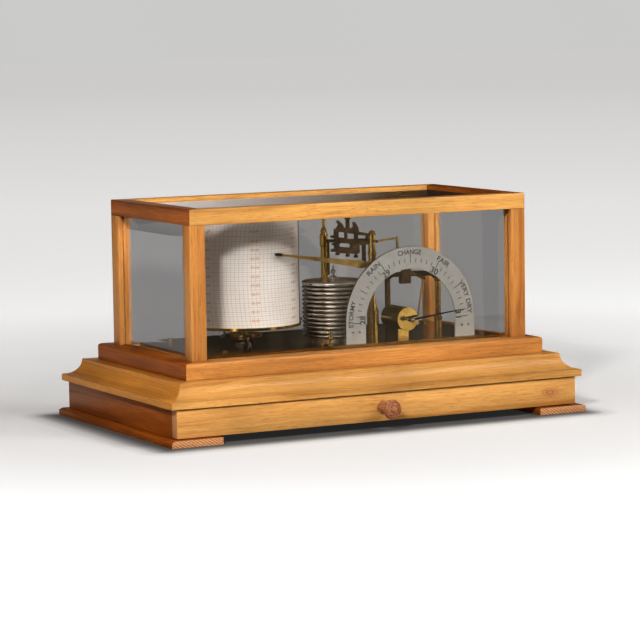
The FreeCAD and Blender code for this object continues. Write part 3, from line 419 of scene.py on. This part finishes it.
def softened(node, width):
    """The CAD board with its arrises rounded over, as a piece that stands for it."""
    source = frame["nodes"][node]
    bm = bmesh.new()
    bm.from_mesh(source.data)
    bmesh.ops.remove_doubles(bm, verts=bm.verts, dist=0.005 * MM)
    bmesh.ops.dissolve_limit(bm, angle_limit=math.radians(0.6), verts=bm.verts, edges=bm.edges)
    mesh = bpy.data.meshes.new(node + "_worn")
    bm.to_mesh(mesh)
    bm.free()
    obj = add_piece(node + "_worn", mesh, NODE_LOOKS[node], BODY_OF[node], SLOT_OF[node])
    edge = obj.modifiers.new("arris", "BEVEL")
    edge.width = width
    edge.segments = 2
    edge.limit_method = "ANGLE"
    edge.angle_limit = math.radians(38)
    edge.use_clamp_overlap = True
    bpy.context.view_layer.update()
    rounded = bpy.data.meshes.new_from_object(obj.evaluated_get(bpy.context.evaluated_depsgraph_get()))
    obj.modifiers.clear()
    obj.data = rounded
    finish_mesh(obj, 28)
    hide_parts(node)
    return obj


SAWN_ENDS = {"feet": Y, "drawer_front": X}

for board in ("drawer_front", "base_rail_front", "base_rail_rear", "base_rail_left", "base_rail_right",
              "top_rail_front", "top_rail_rear", "top_rail_left", "top_rail_right", "corner_posts",
              "moulding_front", "moulding_rear", "moulding_left", "moulding_right", "side_boards", "feet"):
    worn = softened(board, 0.45 * MM)
    if board in SAWN_ENDS:
        worn.data.materials.append(LOOKS["foot_end"])
        for face in worn.data.polygons:
            face.material_index = int(abs(face.normal.dot(SAWN_ENDS[board])) > 0.9)


# ---------------------------------------------------------------- turned pieces

def lathe(name, profile, foot, way, look, body, slot, steps=96):
    """A turned piece. The profile is (radius, height) in mm, from one end on the axis to the other."""
    turn = way.to_track_quat("Z", "Y").to_matrix()
    bm = bmesh.new()
    rings = []
    for radius, height in profile:
        spots = 1 if radius == 0 else steps
        angles = [math.tau * i / steps for i in range(spots)]
        ring = [Vector((radius * math.cos(a), radius * math.sin(a), height)) for a in angles]
        rings.append([bm.verts.new(foot + turn @ (MM * spot)) for spot in ring])
    for low, high in zip(rings, rings[1:]):
        for i in range(steps):
            j = (i + 1) % steps
            if len(low) == 1:
                bm.faces.new((low[0], high[j], high[i]))
            elif len(high) == 1:
                bm.faces.new((low[i], low[j], high[0]))
            else:
                bm.faces.new((low[i], low[j], high[j], high[i]))
    bmesh.ops.recalc_face_normals(bm, faces=bm.faces)
    mesh = bpy.data.meshes.new(name)
    bm.to_mesh(mesh)
    bm.free()
    return add_piece(name, mesh, look, body, slot)


def make_knob():
    """The drawer knob, with rings turned in its face."""
    low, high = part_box("drawer_knob")
    foot = Vector(((low.x + high.x) / 2, high.y, (low.z + high.z) / 2))
    knob = lathe("knob_turned", [
        (0, 0), (5.3, 0), (5.4, 1.2), (5.0, 2.2), (3.9, 3.6), (3.5, 5.6), (3.7, 8.0), (4.8, 9.9),
        (6.5, 11.5), (7.4, 13.0), (7.8, 14.8), (7.7, 16.4), (7.2, 17.7), (6.5, 18.4), (6.1, 18.3),
        (5.8, 17.9), (5.5, 18.3), (5.0, 19.1), (4.3, 19.4), (3.8, 19.2), (3.5, 18.9), (3.2, 19.2),
        (2.7, 20.0), (1.7, 20.4), (0, 20.5)],
        foot, -Y, "knob", "drawer", SLOT_OF["drawer_knob"])
    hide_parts("drawer_knob")


def make_stack():
    """The capsules with rounded rims, under a domed top plate with a turned-down lip."""
    low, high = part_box("aneroid_stack")
    foot = Vector(((low.x + high.x) / 2, (low.y + high.y) / 2, low.z))
    rim = [(22.0, 0), (24.6, 0.5), (25.9, 0.9), (26.4, 1.4), (26.5, 1.8), (26.4, 2.2), (25.9, 2.7),
           (24.6, 3.1)]
    boss_height, capsule_height, whole_capsules = 3.0, 3.6, 12
    profile = [(0, 0), (20.6, 0), (20.6, boss_height)]
    for capsule in range(whole_capsules):
        base = boss_height + capsule_height * capsule
        profile += [(radius, base + up) for radius, up in rim]
    base = boss_height + capsule_height * whole_capsules
    profile += [(radius, base + up) for radius, up in rim[:2]]
    profile += [(24.4, 46.9), (26.0, 46.9), (26.5, 47.3), (26.6, 48.2), (26.4, 49.0), (25.8, 49.6),
                (24.6, 50.0), (20.0, 50.6), (13.0, 51.2), (6.0, 51.6), (3.0, 51.7), (0, 51.7)]
    stack = lathe("capsules_rolled", profile, foot, Z, "capsule", "case", SLOT_OF["aneroid_stack"], 128)
    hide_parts("aneroid_stack")
    stack.parent = None
    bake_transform(stack)


make_knob()
make_stack()


# ---------------------------------------------------------------- printing and engraving

def letters(text, tall, wide=None):
    """A flat word as a thin closed mesh, its middle at 0, that many metres tall and wide."""
    curve = bpy.data.curves.new("letters", "FONT")
    curve.body = text
    curve.align_x = "CENTER"
    curve.resolution_u = 3
    curve.extrude = 0.006
    curve.offset = 0.016
    obj = bpy.data.objects.new("letters", curve)
    bpy.context.scene.collection.objects.link(obj)
    bpy.context.view_layer.update()
    mesh = bpy.data.meshes.new_from_object(obj.evaluated_get(bpy.context.evaluated_depsgraph_get()))
    bpy.data.objects.remove(obj)
    spots = [v.co for v in mesh.vertices]
    low = Vector([min(c[i] for c in spots) for i in range(3)])
    high = Vector([max(c[i] for c in spots) for i in range(3)])
    grow = tall / (high.y - low.y)
    stretch = wide / (high.x - low.x) if wide else grow
    for v in mesh.vertices:
        v.co = Vector(((v.co.x - (low.x + high.x) / 2) * stretch, (v.co.y - (low.y + high.y) / 2) * grow,
                       v.co.z * 0.004))
    return mesh


def gather(name, parts, look, body, slot):
    """One piece from several (mesh, move) pairs, where move takes a corner to its place."""
    bm = bmesh.new()
    for mesh, move in parts:
        start = len(bm.verts)
        bm.from_mesh(mesh)
        bm.verts.ensure_lookup_table()
        for vert in bm.verts[start:]:
            vert.co = move(vert.co)
    bmesh.ops.remove_doubles(bm, verts=bm.verts, dist=0.0004 * MM)
    bmesh.ops.recalc_face_normals(bm, faces=bm.faces)
    mesh = bpy.data.meshes.new(name)
    bm.to_mesh(mesh)
    bm.free()
    return add_piece(name, mesh, look, body, slot)


DIAL_FACE = DIAL_LOW.y
PRINT_LIFT = 0.01 * MM


def on_dial(angle, radius):
    """Bends a flat word along the dial at that angle and radius; angles count from the right."""
    def move(spot):
        around = math.radians(angle) - spot.x / (radius * MM)
        far = radius * MM + spot.y
        return Vector((HUB.x + far * math.cos(around), DIAL_FACE - spot.z - PRINT_LIFT,
                       HUB.z + far * math.sin(around)))
    return move


def bar(long, tall):
    """A thin flat bar, as a closed box."""
    bm = bmesh.new()
    bmesh.ops.create_cube(bm, size=1)
    bmesh.ops.scale(bm, vec=(long, tall, 0.00005), verts=bm.verts)
    mesh = bpy.data.meshes.new("bar")
    bm.to_mesh(mesh)
    bm.free()
    return mesh


def make_dial_marks():
    """The dial's ticks, scale numbers and weather words."""
    short, full = bar(0.55 * MM, 3.6 * MM), bar(0.6 * MM, 6.8 * MM)
    ticks = [(full, on_dial(angle, 51.5)) if angle % 30 == 0 else (short, on_dial(angle, 49.9))
             for angle in range(0, 181, 6)]
    words = [(letters("STORMY", 4.3 * MM, 22.5 * MM), 172), (letters("RAIN", 4.3 * MM, 14.5 * MM), 128),
             (letters("CHANGE", 4.3 * MM, 22.5 * MM), 90.8), (letters("FAIR", 4.3 * MM, 13.0 * MM), 56),
             (letters("VERY DRY", 4.3 * MM, 30.0 * MM), 17)]
    numbers = [(letters(text, 5.2 * MM, 7.2 * MM), angle)
               for text, angle in (("28", 177), ("29", 120), ("30", 60), ("31", 3))]
    parts = ticks + [(mesh, on_dial(angle, 57.0)) for mesh, angle in words]
    parts += [(mesh, on_dial(angle, 46.0)) for mesh, angle in numbers]
    gather("dial_engraving", parts, "black_ink", "case", SLOT_OF["dial_arch"])


def make_dial_edge_shade():
    """A dark bronze strip over the edge of the dial's sheet, all round its outside: painted shade on that edge."""
    radius = (DIAL_HIGH.x - DIAL_LOW.x) / 2
    leg_end = DIAL_LOW.z - HUB.z
    near_face, far_face = DIAL_LOW.y + 0.1 * MM, DIAL_HIGH.y - 0.1 * MM
    inside, outside = 0.01 * MM, 0.2 * MM
    section = [(inside, far_face), (outside, far_face), (outside, near_face), (inside, near_face)]
    angles = [math.pi * i / 90 for i in range(91)]
    path = [Vector((radius, 0, leg_end))]
    path += [Vector((radius * math.cos(a), 0, radius * math.sin(a))) for a in angles]
    path.append(Vector((-radius, 0, leg_end)))
    bm = bmesh.new()
    rows = []
    for spot in path:
        out = Vector((spot.x, 0, max(spot.z, 0))).normalized()
        centre_line = Vector((HUB.x, 0, HUB.z)) + spot
        rows.append([bm.verts.new(centre_line + out * lift + Y * deep) for lift, deep in section])
    for near, far in zip(rows, rows[1:]):
        for i in range(4):
            j = (i + 1) % 4
            bm.faces.new((near[i], near[j], far[j], far[i]))
    bm.faces.new(rows[0])
    bm.faces.new(reversed(rows[-1]))
    bmesh.ops.recalc_face_normals(bm, faces=bm.faces)
    mesh = bpy.data.meshes.new("dial_edge_shade")
    bm.to_mesh(mesh)
    bm.free()
    # Painted shade on the dial sheet's edge, in dark bronze.
    add_piece("dial_edge_shade", mesh, "bronze", "case", SLOT_OF["dial_arch"])


def on_chart(angle, height):
    """Wraps a flat word round the chart at that angle from the right and that height."""
    def move(spot):
        far = DRUM_R + PRINT_LIFT + spot.z
        around = angle + spot.x / DRUM_R
        return Vector((DRUM_AXIS.x + far * math.cos(around), DRUM_AXIS.y + far * math.sin(around),
                       height + spot.y))
    return move


def make_chart_labels():
    """A column of pressure figures for each day of the chart."""
    first_column = math.radians(-154.4)
    parts = []
    for row in range(12):
        mesh = letters(f"{28 + row * 0.25:.2f}", 2.1 * MM, 7.2 * MM)
        height = DRUM_LOW.z + ROW_LOW + row * ROW_GAP
        parts += [(mesh, on_chart(first_column + column * DAY, height)) for column in range(7)]
    gather("chart_figures", parts, "red_ink", "drum", SLOT_OF["chart_paper"])


make_dial_marks()
make_dial_edge_shade()
make_chart_labels()


# ---------------------------------------------------------------- camera, light and floor

AIM_AZIMUTH, AIM_RISE, ROLL = math.radians(-27.454), math.radians(6.260), math.radians(-0.872)
CAMERA_PLACE = Vector((-1.1333, -2.1744, 0.3492))
LENS, SENSOR = 164.33, 36
KEY_LEFT, KEY_RIGHT = 38, 29
LIGHT_TARGET = Vector((0, 0, 0.09))
FLOOR_GLOW = 0.63
FLOOR_TONE = (0.60, 0.605, 0.61)
SHADE_REACH = 30 * MM


def direction(azimuth, rise):
    """From the object toward that azimuth, counted from the front to the right, and that rise."""
    return Vector((math.sin(azimuth) * math.cos(rise), -math.cos(azimuth) * math.cos(rise), math.sin(rise)))


def make_camera():
    """Looks along AIM_AZIMUTH and down by AIM_RISE, rolled a little."""
    data = bpy.data.cameras.new("camera")
    data.sensor_width = SENSOR
    data.lens = LENS
    data.clip_start, data.clip_end = 0.05, 200
    back = direction(AIM_AZIMUTH, AIM_RISE)
    right = Vector((math.cos(AIM_AZIMUTH), math.sin(AIM_AZIMUTH), 0))
    up = back.cross(right)
    turned_right = math.cos(ROLL) * right + math.sin(ROLL) * up
    turned_up = -math.sin(ROLL) * right + math.cos(ROLL) * up
    obj = bpy.data.objects.new("camera", data)
    rows = Matrix((turned_right, turned_up, back)).transposed().to_4x4()
    obj.matrix_world = Matrix.Translation(CAMERA_PLACE) @ rows
    bpy.context.scene.collection.objects.link(obj)
    bpy.context.scene.camera = obj


def soft_light(name, azimuth, rise, distance, size, watts):
    """A round soft light, turned to the middle of the object."""
    data = bpy.data.lights.new(name, "AREA")
    data.shape = "DISK"
    data.size = size
    data.energy = watts
    way = direction(math.radians(azimuth), math.radians(rise))
    obj = bpy.data.objects.new(name, data)
    obj.location = LIGHT_TARGET + way * distance
    obj.rotation_euler = way.to_track_quat("Z", "Y").to_euler()
    bpy.context.scene.collection.objects.link(obj)


def stage_plane(name, corners, colour, glow=0.0):
    """A flat piece of the stage and its node graph. glow above 0 makes it a plain luminous card."""
    mesh = bpy.data.meshes.new(name)
    mesh.from_pydata([Vector(c) for c in corners], [], [(0, 1, 2, 3)])
    obj = bpy.data.objects.new(name, mesh)
    bpy.context.scene.collection.objects.link(obj)
    g = Graph(name)
    tint = g.noise(g.coords, scale=0.6, detail=2)
    low = tuple(0.985 * c for c in colour)
    tone = g.ramp(tint, (0.3, low), (0.7, colour))
    if glow:
        g.set(Base_Color=(0, 0, 0, 1), Emission_Color=tone, Emission_Strength=glow)
    else:
        g.set(Base_Color=tone)
    g.set(Roughness=0.9, Specular_IOR_Level=0.1)
    obj.data.materials.append(g.material)
    return obj, g


def upright(name, y, left, right, low, high, colour):
    """A glowing stage panel that stands across the view, parallel to the case's front."""
    corners = [(left, y, low), (right, y, low), (right, y, high), (left, y, high)]
    return stage_plane(name, corners, colour, 1.0)


def only(obj, *kinds):
    """Leaves a stage panel visible to the named kinds of ray alone."""
    for kind in ("camera", "diffuse", "glossy", "transmission", "shadow"):
        setattr(obj, "visible_" + kind, kind in kinds)


def contact_shade(g):
    """1 on open floor, less close to the feet, and a little further out on the left and the front."""
    parts = g.add("ShaderNodeSeparateXYZ")
    g.link(g.coords, parts.inputs[0])
    low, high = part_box("feet")
    squares = []
    for axis, shift in ((0, -0.005), (1, -0.004)):
        mid, half = (low[axis] + high[axis]) / 2 + shift, (high[axis] - low[axis]) / 2
        past = g.math("SUBTRACT", g.math("ABSOLUTE", g.math("SUBTRACT", parts.outputs[axis], mid)), half)
        past = g.math("MAXIMUM", past, 0.0)
        squares.append(g.math("MULTIPLY", past, past))
    gap = g.math("SQRT", g.math("ADD", squares[0], squares[1]))
    return g.ramp(g.math("DIVIDE", gap, SHADE_REACH), (0.0, 0.2), (0.25, 0.42), (0.6, 0.85), (1.0, 1.0))


def make_backdrop():
    """Four tall pale walls far away, seen by the camera alone, so that a low view ends as the floor does."""
    far, tall = 14.0, 14.0
    ends = [(-far, -far), (far, -far), (far, far), (-far, far)]
    for name, start, stop in zip(("front", "right", "rear", "left"), ends, ends[1:] + ends[:1]):
        corners = [(*start, 0.0), (*stop, 0.0), (*stop, tall), (*start, tall)]
        only(stage_plane("wall_" + name, corners, (0.685, 0.682, 0.678), 1.0)[0], "camera")


def level(left, right, front, rear, height):
    """Corners of a level rectangle."""
    return [(left, front, height), (right, front, height), (right, rear, height), (left, rear, height)]


def sideways(g):
    """Socket for the place from left to right, in metres."""
    parts = g.add("ShaderNodeSeparateXYZ")
    g.link(g.coords, parts.inputs[0])
    return parts.outputs[0]


def make_floor():
    """A pale floor whose glow rises with the distance from the object, to 2.5 m."""
    far = 400.0
    g = stage_plane("floor", level(-far, far, -far, far, 0), FLOOR_TONE)[1]
    away = g.add("ShaderNodeVectorMath", operation="LENGTH")
    g.link(g.coords, away.inputs[0])
    shade = contact_shade(g)
    stops = ((0.0, 0.26), (0.03, 0.38), (0.09, 0.9), (0.25, 1.0), (0.9, 0.88))
    glow = g.ramp(g.math("DIVIDE", away.outputs["Value"], 10.0),
                  *((place, share * FLOOR_GLOW) for place, share in stops))
    g.set(Base_Color=g.mix(1.0, FLOOR_TONE, shade, "MULTIPLY"),
          Emission_Color=(0.975, 1.0, 1.03, 1), Emission_Strength=g.math("MULTIPLY", glow, shade))


def make_world():
    world = bpy.data.worlds.new("studio")
    bpy.context.scene.world = world
    world.use_nodes = True
    world.node_tree.nodes["Background"].inputs["Color"].default_value = (1.0, 0.84, 0.68, 1)
    world.node_tree.nodes["Background"].inputs["Strength"].default_value = 0.24


# Name, y, left, right, bottom, top, colour, and the rays that see it: glowing strips that show only
# through or out of the glass and stand as lights and highlights for the metals inside, and two dark
# flags that darken what the panes and metals reflect.
PANELS = [
    ("strip_right", -0.52, 0.72, 0.90, 0.0, 0.55, (4.4, 4.0, 3.4), ("transmission",)),
    ("strip_left", -0.50, -0.62, -0.50, 0.0, 0.5, (2.6, 2.4, 2.0), ("transmission",)),
    ("strip_face", -0.54, 0.22, 0.40, 0.0, 0.5, (1.0, 0.88, 0.68), ("transmission",)),
    ("front_flag", -0.62, -1.3, 1.3, 0.001, 0.9, (0.06, 0.046, 0.03), ("glossy", "transmission")),
    ("far_flag", 1.0, -1.5, 2.5, 0.107, 1.4, (0.05, 0.042, 0.034), ("glossy", "transmission")),
]
CARD_TONE, MAT_TONE, SHEEN_TONE = (1.0, 0.955, 0.96), (0.13, 0.075, 0.036), (1.0, 1.0, 1.03)


def make_cards():
    """Glowing studio cards that no camera sees directly: a grey one behind, which gives the panes their grey,
    a dim brown one in front, which browns the shade inside the case, the strips and flags, and a pale one for
    the top pane's sheen."""
    card, g = stage_plane("grey_card", level(-2.5, 3.5, 0.12, 3.2, 0.002), CARD_TONE, 1.0)
    g.set(Emission_Strength=g.ramp(g.math("ADD", sideways(g), 0.5), (0.90, 0.285), (1.00, 0.385)))
    only(card, "transmission")
    for name, y, left, right, low, high, colour, kinds in PANELS:
        only(upright(name, y, left, right, low, high, colour)[0], *kinds)
    # The brown mat glows dim brown, seen only in reflections and through the glass: it gives the shade inside the
    # case its brown and darkens the floor that panes and metals show.
    mat = stage_plane("brown_shade_mat", level(-1.5, 1.5, -0.62, 0.11, 0.0015), MAT_TONE, 1.0)[0]
    only(mat, "glossy", "transmission")
    sheen, g = upright("top_sheen", 0.90, 0.0, 1.0, 0.236, 0.42, SHEEN_TONE)
    g.set(Emission_Strength=g.ramp(sideways(g), (0.26, 0.85), (0.56, 0.02)))
    only(sheen, "glossy")


make_camera()
make_backdrop()
make_floor()
make_world()
make_cards()
soft_light("key_left", -40, 27.7, 2.2, 0.26, KEY_LEFT)
soft_light("key_right", 40, 38, 2.2, 0.8, KEY_RIGHT)
bpy.context.scene.view_settings.view_transform = "Standard"
bpy.context.scene.view_settings.gamma = 0.75
